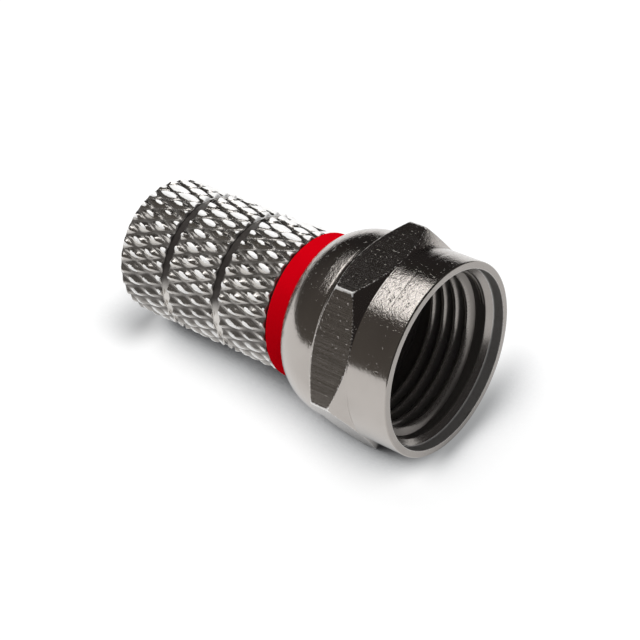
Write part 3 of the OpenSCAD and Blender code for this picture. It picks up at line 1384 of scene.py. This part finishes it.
@dataclass(frozen=True)
class ShadePatch:
    """A stretch of the floor where the painted shadow has a ramp of its own, in millimetres.

    Args:
        start: where it comes in along X.
        across: where it comes in along Y.
        ramp: the floor's tone for each share of open sky.
        end: where it goes out along X, if it does.
        far: where it goes out along Y, if it does.
    """

    start: Span
    across: Span
    ramp: Stops
    end: Optional[Span] = None
    far: Optional[Span] = None

    def mask(self, along: Signal, across: Signal) -> Signal:
        """Where the patch lies.

        Args:
            along: the floor's X.
            across: the floor's Y.

        Returns:
            The mask.
        """
        mask = along.between(*self.start) * across.between(*self.across)
        if self.end:
            mask = mask * (1.0 - along.between(*self.end))
        if self.far:
            mask = mask * (1.0 - across.between(*self.far))
        return mask


@dataclass
class Studio:
    """Camera, floor, dark surround and soft lamps."""

    camera_mm: Triple = (41.55, -44.17, 50.15)
    aim_mm: Triple = (-0.04, -3.08, 2.54)
    roll: float = -9.6  # degrees
    lens: float = 80.34
    clip: Span = (0.002, 10.0)  # metres, as are all lengths below but the shade patches'
    floor_size: float = 1.0
    floor_gap: float = 1e-5
    floor_light: float = 1.12  # strength of the white that the camera sees
    floor_share: float = 0.82  # how much of it covers the lit paper
    paper: Colour = (0.65, 0.65, 0.65)
    ambient: Colour = (0.98, 0.99, 1.0)
    ambient_light: float = 0.6
    surround_r: float = 0.32
    surround_low: float = -6.0  # degrees from the horizon to its lower edge
    surround_rings: int = 24
    surround_sides: int = 48
    surround_tones: Stops = (
        (0.0, (0.130, 0.118, 0.106)),
        (0.5, (0.080, 0.073, 0.067)),
        (0.8, (0.030, 0.028, 0.027)),
    )
    surround_ahead: Colour = (0.035, 0.031, 0.030)  # its tone ahead of the mouth
    ahead_span: Span = (-0.2, 0.25)  # shares of its radius over which that comes in
    shade_reach: float = 0.006  # how far off the part still paints shadow onto the floor
    shade_samples: int = 24
    # the floor's painted shadow: its tone for each share of open sky
    shade: Stops = (
        (0.19, (0.0, 0.0, 0.001)),
        (0.25, (0.09, 0.092, 0.095)),
        (0.30, (0.30, 0.304, 0.31)),
        (0.34, (0.48, 0.485, 0.49)),
        (0.44, (0.71, 0.714, 0.72)),
        (0.52, (0.88, 0.88, 0.88)),
        (0.64, (1.0, 1.0, 1.0)),
    )
    # patches of painted shadow by the nut's mouth and past the sleeve's rear end
    mouth_shade: ShadePatch = ShadePatch(start=(3.0, 6.0), across=(-4.0, -0.5), ramp=(
        (0.62, (0.30, 0.305, 0.31)),
        (0.75, (0.52, 0.525, 0.53)),
        (0.87, (0.84, 0.84, 0.845)),
        (0.95, (1.0, 1.0, 1.0)),
    ))
    rear_shade: ShadePatch = ShadePatch(
        start=(-21.0, -16.5), across=(-6.5, -3.0), end=(-15.7, -13.2), far=(1.0, 4.5), ramp=(
            (0.70, (0.20, 0.202, 0.205)),
            (0.90, (0.50, 0.504, 0.51)),
            (1.0, (1.0, 1.0, 1.0)),
        ))
    lamps: tuple[Lamp, ...] = (
        Lamp("key_box", (-0.43, 0.08, 0.88), 0.16, 0.026, 0.13, 2.8),
        Lamp("top_box", (-0.22, 0.12, 0.96), 0.20, 0.10, 0.10, 9.6, mirrored=False),
    )

    def camera(self) -> None:
        """Places the camera and makes it the scene's own."""
        data = bpy.data.cameras.new("camera")
        data.lens = self.lens
        data.clip_start, data.clip_end = self.clip
        camera = bpy.data.objects.new("camera", data)
        place, aim = Vector(self.camera_mm) * MM, Vector(self.aim_mm) * MM
        turn = (aim - place).to_track_quat("-Z", "Y").to_matrix().to_4x4()
        camera.matrix_world = Matrix.Translation(place) @ turn @ Matrix.Rotation(
            math.radians(self.roll), 4, "Z")
        bpy.context.scene.collection.objects.link(camera)
        bpy.context.scene.camera = camera

    def floor(self, nut: CouplingNut, sleeve: KnurledSleeve) -> None:
        """Lays the floor under the rear end of the nut's bottom flat and the sleeve's rear
        edge, the two places that the connector rests on.

        Args:
            nut: the coupling nut.
            sleeve: the knurled sleeve.
        """
        heel = Vector((sleeve.rear_x + sleeve.run_out, 0.0, -sleeve.knurl_r)) * MM
        toe = Vector((nut.mouth_x - nut.hex_start - nut.hex_len, 0.0, -nut.flat_r)) * MM
        along, across = (toe - heel).normalized(), Vector((0, 1, 0))
        up = along.cross(across)
        half = self.floor_size / 2
        centre = toe - up * self.floor_gap
        corners = [tuple(centre + along * half * a + across * half * b)
                   for a, b in ((-1, -1), (1, -1), (1, 1), (-1, 1))]
        floor = link_mesh("floor", corners, [(0, 1, 2, 3)])
        floor.data.materials.append(self._floor_paper())

    @staticmethod
    def _seen(graph: Graph) -> Signal:
        """Whether a ray comes from the camera, or from a reflection.

        Args:
            graph: the graph to read it in.

        Returns:
            1 for such a ray.
        """
        camera = graph.node("ShaderNodeLightPath", None, None, "Is Camera Ray")
        glossy = graph.node("ShaderNodeLightPath", None, None, "Is Glossy Ray")
        through = graph.node("ShaderNodeLightPath", None, None, "Is Transmission Ray")
        return (camera + glossy + through).at_most(1.0)

    def _floor_paper(self) -> bpy.types.Material:
        """White paper that stays white to the camera, apart from the part's shadow, which is mostly
        painted from how much sky each point sees, over a little real shadow in the paper.

        Returns:
            The material.
        """
        material, graph = new_material("floor_paper")
        paper = graph.node("ShaderNodeBsdfDiffuse", None, {"Color": self.paper})
        openness = graph.node(
            "ShaderNodeAmbientOcclusion", {"samples": self.shade_samples},
            {"Distance": self.shade_reach}, "AO")
        along, across = graph.along(0), graph.along(1)
        # paints the part's shadow into the white that the camera sees
        tone = graph.ramp(openness, self.shade)
        for patch in (self.mouth_shade, self.rear_shade):
            own_tone = graph.ramp(openness, patch.ramp)
            tone = graph.mix_colour(patch.mask(along, across), tone, own_tone)
        white = graph.node("ShaderNodeEmission", None, {"Color": tone, "Strength": self.floor_light})
        lifted = graph.mix_surface(self.floor_share, paper, white)
        upper = graph.mix_surface(self._seen(graph), paper, lifted)
        clear = graph.node("ShaderNodeBsdfTransparent")
        below = graph.node("ShaderNodeNewGeometry", None, None, "Backfacing")
        shown = graph.mix_surface(below, upper, clear)
        graph.node("ShaderNodeOutputMaterial", None, {"Surface": shown})
        return material

    def world(self) -> None:
        """Lights the scene from all round, with a white backdrop."""
        world = bpy.data.worlds.new("world")
        world.use_nodes = True
        graph = Graph(world.node_tree)
        ambient, backdrop = (
            graph.node("ShaderNodeBackground", None, {"Color": colour, "Strength": strength})
            for colour, strength in ((self.ambient, self.ambient_light), ((1.0, 1.0, 1.0), 1.0)))
        shown = graph.mix_surface(self._seen(graph), ambient, backdrop)
        graph.node("ShaderNodeOutputWorld", None, {"Surface": shown})
        bpy.context.scene.world = world

    def surround(self) -> None:
        """Hangs a dark studio surround that only the metal's reflections show."""
        rings, sides = self.surround_rings, self.surround_sides
        points, faces = [], []
        for i in range(rings + 1):
            rise = math.radians(self.surround_low + (90.0 - self.surround_low) * i / rings)
            for j in range(sides):
                turn = 2 * math.pi * j / sides
                points.append((
                    self.surround_r * math.cos(rise) * math.cos(turn),
                    self.surround_r * math.cos(rise) * math.sin(turn),
                    self.surround_r * math.sin(rise)))
        for i in range(rings):
            here, above = i * sides, (i + 1) * sides
            for j in range(sides):
                k = (j + 1) % sides
                faces.append((here + j, here + k, above + k, above + j))
        surround = link_mesh("surround", points, faces)
        surround.data.materials.append(self._surround_cloth())
        surround.visible_camera = False
        surround.visible_diffuse = False
        surround.visible_shadow = False
        surround.visible_transmission = False

    def _surround_cloth(self) -> bpy.types.Material:
        """Dark cloth, palest towards -Y and evenly dark ahead of the mouth.

        Returns:
            The material.
        """
        material, graph = new_material("surround_cloth")
        ahead, back = graph.along(0, self.surround_r), graph.along(1, self.surround_r)
        tone = graph.ramp(back * 0.5 + 0.5, self.surround_tones)
        tone = graph.mix_colour(ahead.between(*self.ahead_span), tone, self.surround_ahead)
        cloth = graph.node("ShaderNodeEmission", None, {"Color": tone, "Strength": 1.0})
        graph.node("ShaderNodeOutputMaterial", None, {"Surface": cloth})
        return material

    def assemble(self, nut: CouplingNut, sleeve: KnurledSleeve) -> None:
        """Sets up the studio.

        Args:
            nut: the coupling nut, for the floor's height.
            sleeve: the knurled sleeve, likewise.
        """
        self.camera()
        self.floor(nut, sleeve)
        self.world()
        self.surround()
        for lamp in self.lamps:
            lamp.light()
        bpy.context.scene.view_settings.view_transform = "Standard"
        log.info("studio: camera, floor, surround and %d lamp(s)", len(self.lamps))


def main() -> None:
    """Builds the connector and its studio."""
    logging.basicConfig(level=logging.INFO, format="%(name)s: %(message)s")
    nut, sleeve, ring = CouplingNut.from_frame(), KnurledSleeve.from_frame(), MarkerRing.from_frame()
    Studio().assemble(nut, sleeve)
    for part in (nut, sleeve, ring):
        for piece in part.assemble():
            log.info("%s: %d faces", piece.name, len(piece.data.polygons))


if __name__ == "__main__":
    main()
